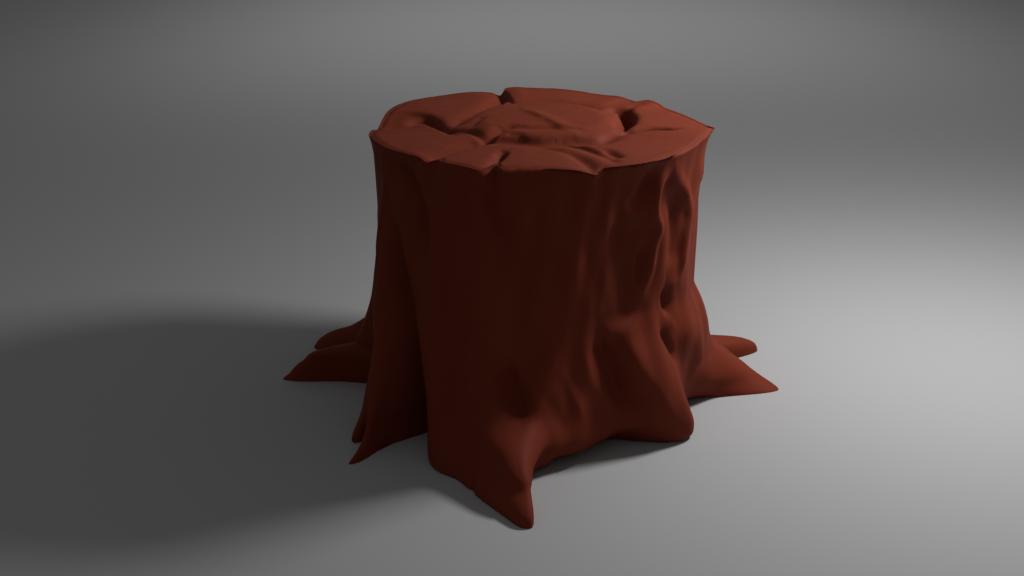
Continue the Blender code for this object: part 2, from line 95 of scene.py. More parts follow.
# The roots: spurs that grew out of the foot of the trunk and run down to the ground, with the
# lobe, web and buttress between them. Each has a crest, as bearing by height and radius by height,
# and two sides that fall away from it, as half angle by height and how blunt the side is.
ROOTS = {
    "front": (
        [(0.00, 265.6), (0.02, 265.4), (0.04, 265.0), (0.07, 263.4), (0.10, 261.0), (0.127, 258.0),
         (0.16, 256.0), (0.22, 252.0), (0.36, 247.0)],
        [(0.00, 0.514), (0.02, 0.500), (0.028, 0.485), (0.036, 0.465), (0.055, 0.446),
         (0.075, 0.415), (0.09, 0.382), (0.103, 0.352), (0.125, 0.326), (0.17, 0.310),
         (0.22, 0.301), (0.36, 0.286)],
        [(0.00, 13.5), (0.12, 12.0)], 1.3,
        [(0.00, 1.2), (0.03, 1.8), (0.045, 3.2), (0.06, 5.0), (0.08, 6.5), (0.16, 7.0)], 2.0),
    "front lobe": (
        [(0.00, 249.0), (0.10, 247.5), (0.20, 242.0), (0.30, 235.0), (0.42, 226.0)],
        [(0.00, 0.362), (0.03, 0.356), (0.06, 0.345), (0.12, 0.331), (0.20, 0.316), (0.30, 0.303),
         (0.44, 0.290)],
        [(0.00, 15.5), (0.10, 17.0), (0.30, 18.0)], 4.0,
        [(0.00, 17.0)], 4.0),
    "front web": (
        [(0.00, 265.5), (0.05, 266.0), (0.10, 267.0), (0.15, 269.5), (0.20, 272.5), (0.26, 275.0)],
        [(0.00, 0.335), (0.02, 0.348), (0.05, 0.352), (0.10, 0.332), (0.15, 0.313), (0.20, 0.297),
         (0.26, 0.284)],
        [(0.00, 6.0)], 2.0,
        [(0.00, 19.0), (0.05, 18.0), (0.10, 15.5), (0.15, 13.0), (0.20, 11.0)], 1.05),
    "front left": (
        [(0.00, 218.0), (0.016, 216.8), (0.033, 216.0), (0.055, 215.8), (0.08, 215.3),
         (0.10, 214.6), (0.15, 213.0), (0.20, 211.0), (0.34, 206.0)],
        [(0.00, 0.456), (0.01, 0.430), (0.018, 0.410), (0.033, 0.390), (0.055, 0.380),
         (0.08, 0.371), (0.10, 0.364), (0.15, 0.348), (0.22, 0.328), (0.30, 0.309), (0.42, 0.290)],
        [(0.00, 2.8), (0.04, 4.0), (0.10, 7.0), (0.20, 8.0)], 1.5,
        [(0.00, 2.0), (0.10, 4.0)], 2.0),
    "front left knob": (
        [(0.00, 211.5), (0.05, 211.5), (0.12, 210.5)],
        [(0.00, 0.392), (0.015, 0.389), (0.027, 0.382), (0.045, 0.371), (0.06, 0.362),
         (0.076, 0.354), (0.12, 0.325), (0.22, 0.284)],
        [(0.00, 3.5)], 2.0,
        [(0.00, 2.0), (0.06, 2.8)], 2.0),
    "left": (
        [(0.00, 171.3), (0.05, 170.5), (0.10, 170.5), (0.24, 172.0)],
        [(0.00, 0.492), (0.01, 0.480), (0.03, 0.463), (0.04, 0.450), (0.054, 0.434), (0.060, 0.414),
         (0.065, 0.385), (0.072, 0.361), (0.09, 0.348), (0.11, 0.338), (0.13, 0.330), (0.18, 0.310),
         (0.28, 0.293)],
        [(0.00, 6.0)], 1.5,
        [(0.00, 2.2), (0.06, 4.0), (0.16, 8.0)], 1.9),
    "back left": (
        [(0.00, 155.0), (0.10, 153.0), (0.24, 150.0)],
        [(0.00, 0.492), (0.01, 0.486), (0.023, 0.475), (0.043, 0.444), (0.057, 0.410),
         (0.068, 0.393), (0.09, 0.365), (0.12, 0.342), (0.16, 0.318), (0.26, 0.293)],
        [(0.00, 7.0), (0.10, 10.0)], 1.5,
        [(0.00, 5.5)], 1.5),
    "back": (
        [(0.00, 116.0), (0.04, 114.0), (0.10, 113.5), (0.26, 109.0)],
        [(0.00, 0.468), (0.03, 0.438), (0.08, 0.378), (0.13, 0.330), (0.20, 0.302), (0.28, 0.284)],
        [(0.00, 7.0), (0.12, 11.0)], 1.5,
        [(0.00, 6.0), (0.12, 9.0)], 1.6),
    "back buttress": (
        [(0.00, 92.0), (0.10, 93.0), (0.30, 96.0)],
        [(0.00, 0.330), (0.05, 0.318), (0.14, 0.300), (0.24, 0.290), (0.34, 0.283)],
        [(0.00, 8.0)], 2.0,
        [(0.00, 6.0)], 2.0),
    "back right": (
        [(0.00, 64.0), (0.04, 67.0), (0.10, 68.5), (0.28, 73.0)],
        [(0.00, 0.478), (0.03, 0.452), (0.07, 0.394), (0.12, 0.343), (0.19, 0.308), (0.30, 0.285)],
        [(0.00, 7.0), (0.12, 11.0)], 1.5,
        [(0.00, 6.5), (0.12, 10.0)], 1.6),
    "right back": (
        [(0.00, 23.5), (0.05, 24.5), (0.16, 27.0)],
        [(0.00, 0.490), (0.022, 0.476), (0.033, 0.446), (0.042, 0.400), (0.060, 0.350),
         (0.10, 0.315), (0.18, 0.288)],
        [(0.00, 3.6), (0.06, 6.0)], 1.8,
        [(0.00, 5.0), (0.06, 8.0)], 1.8),
    "right": (
        [(0.00, 1.0), (0.02, 5.0), (0.05, 7.5), (0.08, 8.0), (0.12, 6.0), (0.16, 3.0), (0.20, -1.0),
         (0.24, -6.0)],
        [(0.00, 0.460), (0.02, 0.424), (0.04, 0.398), (0.055, 0.378), (0.073, 0.357),
         (0.094, 0.334), (0.118, 0.322), (0.15, 0.316), (0.18, 0.308), (0.20, 0.300),
         (0.235, 0.284)],
        [(0.00, 5.0), (0.02, 10.0), (0.05, 16.0), (0.10, 22.0), (0.17, 26.0)], 1.9,
        [(0.00, 4.0), (0.05, 6.0), (0.10, 9.0)], 1.5),
    "front right": (
        [(0.00, 321.0), (0.03, 320.0), (0.06, 317.0), (0.10, 312.5), (0.14, 308.5), (0.20, 303.0),
         (0.27, 295.0)],
        [(0.00, 0.333), (0.03, 0.337), (0.06, 0.335), (0.10, 0.328), (0.14, 0.319), (0.18, 0.306),
         (0.21, 0.294), (0.25, 0.284)],
        [(0.00, 13.0), (0.06, 12.0), (0.14, 9.5)], 1.7,
        [(0.00, 10.5), (0.06, 10.5), (0.10, 12.5), (0.20, 14.5)], 2.5),
}


def root_reach(bearing, height, root):
    """How far one root stands out of the trunk."""
    crest_bearing, crest_radius, before_angle, before_power, after_angle, after_power = root
    turn = turn_from(bearing, smooth_curve(crest_bearing, height))
    reach = np.maximum(smooth_curve(crest_radius, height) - trunk_radius(height), 0)
    before = turn < 0
    angle = np.where(before, smooth_curve(before_angle, height), smooth_curve(after_angle, height))
    power = np.where(before, before_power, after_power)
    roundness = 0.12
    away = np.hypot(turn / angle, roundness) - roundness
    return reach * np.exp(-away ** power)


def all_roots(bearing, height):
    """Roots merged so that neighbours melt into each other."""
    total = sum(root_reach(bearing, height, root) ** 3 for root in ROOTS.values())
    return np.cbrt(total)


# The folds of the trunk: ridges and hollows where the wood grew round its roots and branches.
# Each is a path of (bearing, height), its half width before and after the path, and its rise.
FOLDS = [
    # Valley beside the front lobe, deepest at the foot, and the ridge that runs into the lobe
    ([(212, 0.38), (216.5, 0.28), (221, 0.21), (224, 0.12), (224, 0.00), (224, -0.10)],
     0.020, 0.011, -0.016),
    ([(222, 0.20), (223, 0.12), (222.5, 0.02), (222.5, -0.10)], 0.016, 0.014, -0.032),
    ([(202.5, 0.50), (208, 0.465), (213, 0.412), (218.6, 0.35), (220, 0.31)], 0.012, 0.006, 0.006),
    # Short fold that overhangs under the rim, front left
    ([(210, 0.50), (219.5, 0.48), (225, 0.44), (227.5, 0.40), (228, 0.36)], 0.024, 0.008, -0.013),
    # Thin ribs on the left side, and the shallow hollow over them
    ([(206, 0.48), (204.5, 0.42), (203.5, 0.364), (204.5, 0.29), (205, 0.223), (205, 0.164)],
     0.005, 0.005, 0.005),
    ([(197, 0.33), (197.5, 0.276), (197, 0.226), (196, 0.164), (195, 0.111)], 0.006, 0.006, 0.005),
    ([(184, 0.20), (182, 0.15), (180, 0.115), (178, 0.09)], 0.008, 0.008, 0.008),
    ([(180, 0.435), (190, 0.430), (198, 0.425)], 0.035, 0.035, -0.007),
    # Dents of the front lobe, and the long soft folds to its right
    ([(248, 0.485), (251.3, 0.457), (253.6, 0.431), (255, 0.40)], 0.012, 0.012, -0.008),
    ([(236, 0.31), (238, 0.285), (239, 0.26)], 0.008, 0.008, -0.004),
    ([(240, 0.17), (243, 0.12), (245, 0.07)], 0.020, 0.020, -0.005),
    ([(252.8, 0.04), (253.2, 0.01), (253.2, -0.04)], 0.004, 0.004, -0.007),
    ([(292, 0.50), (284, 0.455), (283, 0.40), (281, 0.34), (278, 0.25), (277, 0.17)],
     0.012, 0.014, 0.004),
    ([(303, 0.494), (295, 0.485), (292.6, 0.43), (294, 0.37), (292, 0.314), (290.5, 0.255),
      (295, 0.20), (301.5, 0.135), (306, 0.095)], 0.012, 0.013, 0.0035),
    # Ridges and hollows of the right side, up to the rim
    ([(311, 0.500), (307.5, 0.478), (303.5, 0.455), (300.5, 0.435)], 0.014, 0.014, -0.009),
    ([(309, 0.365), (307.5, 0.335), (307.5, 0.300)], 0.008, 0.014, -0.009),
    ([(320, 0.496), (314, 0.472), (312.3, 0.43), (315, 0.395), (313, 0.366), (311.8, 0.32),
      (309, 0.28)], 0.012, 0.008, 0.010),
    ([(321, 0.485), (330, 0.435), (334.5, 0.400), (332.5, 0.360), (330.5, 0.320), (329, 0.28)],
     0.009, 0.016, 0.010),
    ([(318, 0.455), (323.5, 0.41), (325, 0.36), (323.5, 0.31)], 0.020, 0.020, -0.011),
    ([(351, 0.53), (350, 0.48), (346, 0.43)], 0.030, 0.030, 0.009),
    # Pocket over the right root, the narrow hollow under it, and the root's broad shoulder
    ([(320, 0.275), (320.5, 0.250), (323, 0.225)], 0.007, 0.026, -0.016),
    ([(316.5, 0.205), (320, 0.172), (323.5, 0.140)], 0.007, 0.010, -0.011),
    ([(329, 0.210), (335, 0.170), (340, 0.130), (343, 0.090)], 0.030, 0.030, 0.010),
    # Hollow beside the front root, and the two folds of the web with a shallow hollow before them
    ([(257.5, 0.190), (260.0, 0.150), (262.4, 0.115), (263.6, 0.085)], 0.025, 0.015, -0.022),
    ([(271, 0.135), (274, 0.100), (277, 0.070)], 0.011, 0.011, -0.003),
    ([(277, 0.170), (280, 0.129), (282, 0.105), (283, 0.080)], 0.010, 0.008, 0.003),
    ([(284.5, 0.210), (285.8, 0.164), (290, 0.126), (298.5, 0.075)], 0.016, 0.009, 0.004),
    # Hollow between the front roots, deepest beside the web, and the bay under it
    ([(290, 0.225), (293.5, 0.175), (298, 0.122), (303.5, 0.066)], 0.018, 0.026, -0.017),
    ([(271, 0.000), (275, 0.000), (286, 0.000), (298, 0.008), (310, 0.012)], 0.024, 0.024, -0.030),
    # Broad hollow that runs down the front right of the trunk
    ([(300, 0.22), (300, 0.28), (299, 0.36), (297, 0.43)], 0.045, 0.045, -0.012),
]


# A path is followed in short straight steps, and its rise fades towards both ends: over this share
# of its length, down to this share of its height.
STEPS_PER_KNOT = 6
FADE_LENGTH = 0.2
FADE_SHARE = 0.35


def crease_rise(x, y, path, before, after, rise):
    """How much a ridge or groove lifts or sinks the surface at each (x, y)."""
    steps = STEPS_PER_KNOT * (len(path) - 1)
    along = np.linspace(0, len(path) - 1, steps + 1)
    path_x = smooth_curve([(i, p[0]) for i, p in enumerate(path)], along)
    path_y = smooth_curve([(i, p[1]) for i, p in enumerate(path)], along)
    reach = 3 * max(before, after)
    near = (x > path_x.min() - reach) & (x < path_x.max() + reach)
    near &= (y > path_y.min() - reach) & (y < path_y.max() + reach)
    near_x, near_y = x[near], y[near]
    nearest = np.full(near_x.shape, np.inf)
    side = np.zeros(near_x.shape)
    place = np.zeros(near_x.shape)
    for i in range(steps):
        step_x = path_x[i + 1] - path_x[i]
        step_y = path_y[i + 1] - path_y[i]
        progress = (near_x - path_x[i]) * step_x + (near_y - path_y[i]) * step_y
        t = np.clip(progress / (step_x ** 2 + step_y ** 2), 0, 1)
        away_x = near_x - path_x[i] - t * step_x
        away_y = near_y - path_y[i] - t * step_y
        distance = np.hypot(away_x, away_y)
        closer = distance < nearest
        nearest = np.where(closer, distance, nearest)
        side = np.where(closer, step_x * away_y - step_y * away_x, side)
        place = np.where(closer, (i + t) / steps, place)
    width = np.where(side > 0, after, before)
    ends = smooth_step(place / FADE_LENGTH) * smooth_step((1 - place) / FADE_LENGTH)
    lift = np.zeros(np.shape(x))
    lift[near] = rise * (FADE_SHARE + (1 - FADE_SHARE) * ends) * np.exp(-(nearest / width) ** 2)
    return lift


def fold_rise(bearing, height):
    """All the folds together."""
    arc_per_degree = math.radians(TRUNK_RADIUS)
    total = np.zeros(np.shape(bearing))
    for path, before, after, rise in FOLDS:
        centre = path[0][0]
        flat_path = [(turn_from(b, centre) * arc_per_degree, h) for b, h in path]
        across = turn_from(bearing, centre) * arc_per_degree
        total = total + crease_rise(across, height, flat_path, before, after, rise)
    return total


def grain_waves(bearing, height):
    """Soft unevenness that runs down the wood."""
    turn = np.radians(bearing)
    waves = 0.0012 * np.sin(23 * turn + 9 * height + 2 * np.sin(11 * height + 3 * turn))
    waves += 0.0010 * np.sin(37 * turn - 14 * height + 1.3 + 2 * np.sin(7 * height))
    waves += 0.0014 * np.sin(9 * turn + 21 * height + 0.7)
    return waves


# The sawn edge: a thin rim that splits as the wood dries, with splinters left at the splits.
# A split is a bearing, its half angle and its depth; a splinter has what it stands out and hangs.
RIM_RADIUS = 0.29
LIP_DEPTH = 0.018
RIM_OUTLINE = [
    (0, 0.004), (14, -0.004), (30, -0.003), (48, -0.005), (66, -0.004), (82, 0.000),
    (100, -0.002), (120, -0.002), (134, 0.007), (146, 0.014), (160, 0.013), (174, 0.006),
    (190, 0.014), (206, 0.014), (222, 0.006), (236, -0.002), (248, -0.004), (268, -0.013),
    (280, -0.006), (292, -0.002), (306, 0.004), (322, 0.000), (336, 0.002), (352, 0.012),
]
RIM_RISE = [
    (0, 0.000), (14, -0.004), (28, -0.007), (35, -0.006), (38.5, -0.001), (44, 0.000),
    (47.5, -0.005), (52, -0.006), (56, -0.003), (64, -0.004), (78, 0.000), (94, 0.003),
    (101, 0.005), (104, 0.002), (106, -0.007), (109, -0.003), (113, 0.000), (134, 0.002),
    (148, 0.003), (158, 0.000), (166, -0.008), (176, -0.011), (184, -0.002), (192, 0.000),
    (210, 0.000), (226, 0.002), (240, 0.000), (262, 0.002), (280, 0.001), (300, 0.001),
    (330, 0.002), (350, 0.007),
]
RIM_SPLITS = [
    (49, 1.6, 0.006), (105.5, 1.6, 0.014), (178.5, 2.4, 0.030),
    (231.5, 1.8, 0.014), (252.5, 1.8, 0.028), (289.5, 2.6, 0.010),
]
RIM_SPLINTERS = [
    (189, 5.0, 0.004, 0.004), (229, 2.2, 0.004, 0.006), (248.5, 3.2, 0.008, 0.003),
    (285.5, 4.0, 0.014, 0.007), (355, 5.0, 0.006, 0.000),
]


def rim_shape(bearing):
    """Radius and height of the sawn edge."""
    radius = RIM_RADIUS + ring_curve(RIM_OUTLINE, bearing)
    height = STUMP_HEIGHT + ring_curve(RIM_RISE, bearing)
    for centre, half_angle, depth in RIM_SPLITS:
        radius = radius - depth * np.exp(-(turn_from(bearing, centre) / half_angle) ** 2)
    for centre, half_angle, out, drop in RIM_SPLINTERS:
        share = np.exp(-np.abs(turn_from(bearing, centre) / half_angle) ** 1.5)
        radius = radius + out * share
        height = height - drop * share
    return radius, height


# The wall: the trunk, roots and folds together, from the ground up to the sawn edge.
# Its foot is rounded in where it meets the ground, more so in the bays between the roots.
TOE_TUCK = 0.004
BAY_TUCK = 0.024
BAY_END = 0.05
COLUMNS = 560
WALL_ROWS = 88
# Some roots turn aside at their tips: bearing, half angle, where it starts, length and turn
TIP_TURNS = [
    (265.0, 9.0, 0.400, 0.100, 1.9),
    (219.0, 9.0, 0.340, 0.100, 4.0),
    (172.0, 7.0, 0.370, 0.110, 2.5),
]


def tip_turn(bearing, radius):
    """Degrees by which the tips of the roots turn aside."""
    total = np.zeros(np.shape(radius))
    for centre, half_angle, start, length, turn in TIP_TURNS:
        near = np.exp(-(turn_from(bearing, centre) / half_angle) ** 4)
        total = total + turn * near * smooth_step((radius - start) / length)
    return total


def column_bearings():
    """Bearings set closer together where the foot of the stump runs in and out."""
    toe_height = 0.03
    extra_step = 0.0012
    fine = np.linspace(0, 360, 8 * 360 + 1)
    turn = np.radians(fine)
    radius = trunk_radius(toe_height) + all_roots(fine, np.full(fine.shape, toe_height))
    step = np.hypot(np.diff(radius * np.cos(turn)), np.diff(radius * np.sin(turn)))
    travel = np.concatenate([[0], np.cumsum(step + extra_step)])
    return np.interp(np.linspace(0, travel[-1], COLUMNS, endpoint=False), travel, fine)


def wall_points(bearing):
    """Rows of points from the ground up to the rim, and how deep each lies in a hollow."""
    rim_radius, rim_height = rim_shape(bearing)
    t = np.linspace(0, 1, WALL_ROWS)
    # The rows lie closest together at the foot
    share = 0.42 * t ** 1.9 + 0.58 * t * (1 - (1 - t) ** 1.25)
    height = np.outer(share, rim_height)
    around = np.broadcast_to(bearing, height.shape)
    roots = all_roots(around, height)
    folds = fold_rise(around, height)
    radius = trunk_radius(height) + ring_curve(TRUNK_LOBES, around) + roots + folds
    radius = radius + grain_waves(around, height)
    lip = np.exp(-((rim_height - height) / LIP_DEPTH) ** 1.1)
    radius = radius + (rim_radius - radius) * lip
    tuck = TOE_TUCK + BAY_TUCK * np.exp(-(roots / BAY_END) ** 2)
    under = np.clip(1 - height / tuck, 0, 1)
    radius = radius - tuck * (1 - np.sqrt(1 - under ** 2))
    turn = np.radians(around + tip_turn(around, radius))
    points = np.stack([radius * np.cos(turn), radius * np.sin(turn), height], axis=2)
    return points, -folds * (1 - lip)


# The sawn face: raised heartwood in the middle, with splits that run in from the edge, a pit on
# the right and ledges where the wood tore. Each crease is a path of (x, y), widths and rise.
TOP_ROWS = 76
LIP_EDGE = 0.003
LEVEL_SHARE = 0.45
DISC_RADIUS = 0.150
DISC_CENTRE = (0.000, 0.025)
DISC_RISE = 0.012
DISC_END = 1.04
DISC_SLOPE = 0.35
DISC_DOME = 0.2
TOP_CREASES = [
    # Split from the left edge, steep in front, with a hollow shelf behind it
    ([(-0.300, 0.020), (-0.270, 0.030), (-0.240, 0.040), (-0.216, 0.060), (-0.196, 0.035),
      (-0.180, -0.005), (-0.158, -0.050)], 0.007, 0.014, -0.018),
    ([(-0.300, 0.080), (-0.255, 0.095), (-0.220, 0.085), (-0.196, 0.050)], 0.022, 0.010, -0.008),
    ([(-0.176, -0.020), (-0.143, -0.032), (-0.117, -0.058), (-0.100, -0.088)],
     0.006, 0.009, -0.006),
    # Splits from the front edge
    ([(-0.191, -0.221), (-0.169, -0.188), (-0.139, -0.155), (-0.118, -0.130), (-0.100, -0.120)],
     0.006, 0.028, -0.011),
    ([(-0.090, -0.270), (-0.080, -0.235), (-0.071, -0.200), (-0.068, -0.170)],
     0.007, 0.010, -0.014),
    ([(0.084, -0.290), (0.067, -0.224), (0.030, -0.165), (-0.020, -0.140)], 0.010, 0.010, -0.004),
    ([(0.122, -0.255), (0.105, -0.200), (0.079, -0.161), (0.053, -0.122), (0.033, -0.108)],
     0.007, 0.014, -0.006),
    ([(0.104, -0.160), (0.118, -0.191), (0.125, -0.210)], 0.009, 0.009, -0.007),
    # Pit and split on the right
    ([(0.130, 0.116), (0.150, 0.138), (0.160, 0.095), (0.155, 0.040), (0.142, -0.010)],
     0.012, 0.012, -0.034),
    ([(0.140, -0.042), (0.166, -0.036), (0.197, -0.028), (0.230, -0.038)], 0.007, 0.012, -0.028),
    # Splits from the back edge
    ([(0.205, 0.190), (0.175, 0.160), (0.158, 0.135)], 0.012, 0.012, -0.006),
    ([(-0.080, 0.275), (-0.070, 0.220), (-0.085, 0.164), (-0.105, 0.109), (-0.135, 0.050),
      (-0.160, 0.000)], 0.020, 0.008, -0.011),
    # Ledge round the heartwood
    ([(0.136, -0.046), (0.112, -0.081), (0.090, -0.098), (0.047, -0.100), (-0.003, -0.111),
      (-0.052, -0.100), (-0.100, -0.100)], 0.008, 0.022, -0.010),
    ([(-0.070, 0.150), (-0.030, 0.175), (0.020, 0.180), (0.080, 0.152), (0.118, 0.105)],
     0.010, 0.022, -0.007),
    # Ridges and hollows of the heartwood
    ([(-0.030, 0.075), (-0.004, 0.028), (0.017, -0.010), (0.048, -0.074)], 0.010, 0.018, 0.004),
    ([(-0.078, -0.048), (-0.049, -0.040), (-0.023, -0.048), (0.020, -0.050), (0.060, -0.060)],
     0.018, 0.007, -0.005),
    ([(-0.096, -0.105), (-0.086, -0.085), (-0.070, -0.059), (-0.058, -0.046)],
     0.005, 0.016, -0.011),
    ([(-0.062, -0.080), (-0.048, -0.084), (-0.036, -0.094)], 0.007, 0.007, -0.003),
    ([(-0.124, -0.022), (-0.112, 0.009), (-0.104, 0.030)], 0.008, 0.010, -0.004),
]


def crease_depth(x, y):
    """All the splits, ledges and ridges of the sawn face together."""
    return sum(crease_rise(x, y, *crease) for crease in TOP_CREASES)


def disc_rise(x, y):
    """How much the heartwood stands up, a little domed, with a soft slope at its edge."""
    away = np.hypot(x - DISC_CENTRE[0], y - DISC_CENTRE[1]) / DISC_RADIUS
    return DISC_RISE * smooth_step((DISC_END - away) / DISC_SLOPE) * (1 - DISC_DOME * away)


def top_points(rim):
    """Rows of points from inside the rim to the middle, and how deep each lies in a hollow."""
    t = np.linspace(0, 1, TOP_ROWS + 1)[1:-1, None]
    # The rows lie closest together at the edge
    share = (1 - t ** 1.15) ** 0.85
    x = share * rim[:, 0]
    y = share * rim[:, 1]
    outer = smooth_step((share - LEVEL_SHARE) / (1 - LEVEL_SHARE))
    height = STUMP_HEIGHT + (rim[:, 2] - STUMP_HEIGHT) * outer
    height = height - LIP_EDGE * (1 - smooth_step((1 - share) / 0.05))
    creases = crease_depth(x, y)
    relief = disc_rise(x, y) + creases
    height = height + relief * (1 - share ** 12)
    return np.stack([x, y, height], axis=2), -creases


# The skin: the underside, wall and sawn face joined into one closed surface. The flat underside
# stands in for the roots under the ground. Four marks on the skin guide the weathering and the
# colour: the run of the grain, the sawn face (which gets a painted sheen), the depth of the hollows
# (which sets painted shade in them and painted highlight on the ridges) and what the rain reaches.
UNDERSIDE_SHARES = [0.25, 0.5, 0.7, 0.8, 0.86, 0.9, 0.94, 0.97]


def underside_points(bearing, foot):
    """Rows of points from the middle of the underside out to the foot of the wall."""
    radius = np.outer(UNDERSIDE_SHARES, np.hypot(foot[:, 0], foot[:, 1]))
    turn = np.radians(bearing + tip_turn(bearing, radius))
    return np.stack([radius * np.cos(turn), radius * np.sin(turn), np.zeros(radius.shape)], axis=2)


bearings = column_bearings()
wall, wall_hollow = wall_points(bearings)
top, top_hollow = top_points(wall[-1])
underside = underside_points(bearings, wall[0])
middle = np.zeros(1)
middle_rise = disc_rise(middle, middle)[0] + crease_depth(middle, middle)[0]
middle_height = STUMP_HEIGHT + float(middle_rise)
rings = np.concatenate([underside, wall, top])
row_count = len(rings)
points = np.concatenate([[(0, 0, 0)], rings.reshape(-1, 3), [(0, 0, middle_height)]])

column = np.arange(COLUMNS)
following = (column + 1) % COLUMNS
low = (np.arange(row_count - 1) * COLUMNS + 1)[:, None]
high = low + COLUMNS
quads = np.stack([low + column, low + following, high + following, high + column], axis=2)
last_row = 1 + (row_count - 1) * COLUMNS
last_point = np.full(COLUMNS, len(points) - 1)
ground_fan = np.stack([np.zeros(COLUMNS, int), 1 + following, 1 + column], axis=1)
middle_fan = np.stack([last_row + column, last_row + following, last_point], axis=1)
faces = quads.reshape(-1, 4).tolist() + ground_fan.tolist() + middle_fan.tolist()
skin = bpy.data.meshes.new("stump")
skin.from_pydata(points.tolist(), [], faces)


def whole_skin(wall_rows, top_rows):
    """One value for each point of the skin: nothing on the underside, then the wall and the top."""
    flat = np.zeros(len(underside) * COLUMNS + 1)
    return np.concatenate([flat, wall_rows.ravel(), top_rows.ravel(), top_rows[-1:, :1].ravel()])


def mark_skin(name, values):
    """Keeps a value for each point of the skin under a plain name."""
    mark = skin.attributes.new(name, "FLOAT", "POINT")
    mark.data.foreach_set("value", values.astype(np.float32))


run_down = np.hypot(points[:, 0], points[:, 1]) - points[:, 2]
grain_turn = np.arctan2(points[:, 1], points[:, 0])
grain = np.stack([np.cos(grain_turn), np.sin(grain_turn), run_down], axis=1)
grain[:, :2] *= TRUNK_RADIUS
all_top = np.ones(top.shape[:2])
sawn = whole_skin(np.zeros(wall.shape[:2]), all_top)
grain = np.where(sawn[:, None] > 0.5, points, grain)
grain_mark = skin.attributes.new("grain", "FLOAT_VECTOR", "POINT")
grain_mark.data.foreach_set("vector", grain.astype(np.float32).ravel())
mark_skin("sawn", sawn)
mark_skin("hollow", whole_skin(wall_hollow, top_hollow))
above_ground = smooth_step((wall[:, :, 2] - 0.004) / 0.02)
mark_skin("weathered", whole_skin(above_ground, all_top))

stump = bpy.data.objects.new("stump_wood", skin)
bpy.context.scene.collection.objects.link(stump)
skin.shade_smooth()


# Weathering: rain and sun wear the softer wood away between the harder fibres, which leaves
# shallow ripples along the grain. It is laid on the skin, a fraction of a millimetre deep.
class Wired:
    """An output in a node tree. Sums and products of outputs add Math nodes."""

    def __init__(self, tree, socket=None):
        self.tree = tree
        self.socket = socket

    def node(self, kind, settings, values, output=0):
        """Adds a node with its settings, then its input values or links, and gives an output."""
        made = self.tree.nodes.new(kind)
        for name, value in settings.items():
            setattr(made, name, value)
        for name, value in values.items():
            if isinstance(value, Wired):
                self.tree.links.new(value.socket, made.inputs[name])
            else:
                made.inputs[name].default_value = value
        return Wired(self.tree, made.outputs[output])

    def math(self, operation, first, second):
        return self.node("ShaderNodeMath", {"operation": operation}, {0: first, 1: second})

    def __add__(self, other):
        return self.math("ADD", self, other)

    def __radd__(self, other):
        return self.math("ADD", other, self)

    def __sub__(self, other):
        return self.math("SUBTRACT", self, other)

    def __rsub__(self, other):
        return self.math("SUBTRACT", other, self)

    def __mul__(self, other):
        return self.math("MULTIPLY", self, other)

    def __rmul__(self, other):
        return self.math("MULTIPLY", other, self)


def weathering_tree():
    """Geometry Nodes that press ripples and fibres into the skin along its normals."""
    tree = bpy.data.node_groups.new("weathering", "GeometryNodeTree")
    sockets = [
        ("Skin", "NodeSocketGeometry"),
        ("Ripple depth", "NodeSocketFloat"), ("Ripples per metre", "NodeSocketFloat"),
        ("Fibre depth", "NodeSocketFloat"), ("Fibres per metre", "NodeSocketFloat"),
        ("Seed", "NodeSocketFloat"), ("Wood", "NodeSocketMaterial"),
    ]
    for name, kind in sockets:
        tree.interface.new_socket(name, in_out="INPUT", socket_type=kind)
    tree.interface.new_socket("Skin", in_out="OUTPUT", socket_type="NodeSocketGeometry")
    start = Wired(tree)
    group_input = tree.nodes.new("NodeGroupInput")
    given = {name: Wired(tree, group_input.outputs[name]) for name, _ in sockets}
    vector = {"data_type": "FLOAT_VECTOR"}
    number = {"data_type": "FLOAT"}
    grain_read = start.node("GeometryNodeInputNamedAttribute", vector, {"Name": "grain"})
    sawn_read = start.node("GeometryNodeInputNamedAttribute", number, {"Name": "sawn"})
    weathered_read = start.node("GeometryNodeInputNamedAttribute", number, {"Name": "weathered"})
    multiply = {"operation": "MULTIPLY"}
    along_wall = start.node("ShaderNodeVectorMath", multiply, {0: grain_read, 1: (1.0, 1.0, 0.12)})
    mix = {"data_type": "VECTOR", "factor_mode": "UNIFORM"}
    stretched = start.node("ShaderNodeMix", mix, {0: sawn_read, 4: along_wall, 5: grain_read}, 1)
    noise = {"noise_dimensions": "4D"}
    ripples = start.node("ShaderNodeTexNoise", noise, {
        "Vector": stretched, "W": given["Seed"],
        "Scale": given["Ripples per metre"], "Detail": 1.0})
    fibres = start.node("ShaderNodeTexNoise", noise, {
        "Vector": stretched, "W": given["Seed"] + 7.0,
        "Scale": given["Fibres per metre"], "Detail": 2.0})
    press = (ripples - 0.5) * given["Ripple depth"] + (fibres - 0.5) * given["Fibre depth"]
    normal = start.node("GeometryNodeInputNormal", {}, {})
    offset = start.node("ShaderNodeVectorMath", {"operation": "SCALE"}, {
        0: normal, "Scale": press * weathered_read})
    moved = start.node("GeometryNodeSetPosition", {}, {"Geometry": given["Skin"], "Offset": offset})
    whole = start.node("GeometryNodeRealizeInstances", {}, {"Geometry": moved})
    finished = start.node("GeometryNodeSetMaterial", {}, {
        "Geometry": whole, "Material": given["Wood"]})
    tree.links.new(finished.socket, tree.nodes.new("NodeGroupOutput").inputs["Skin"])
    return tree
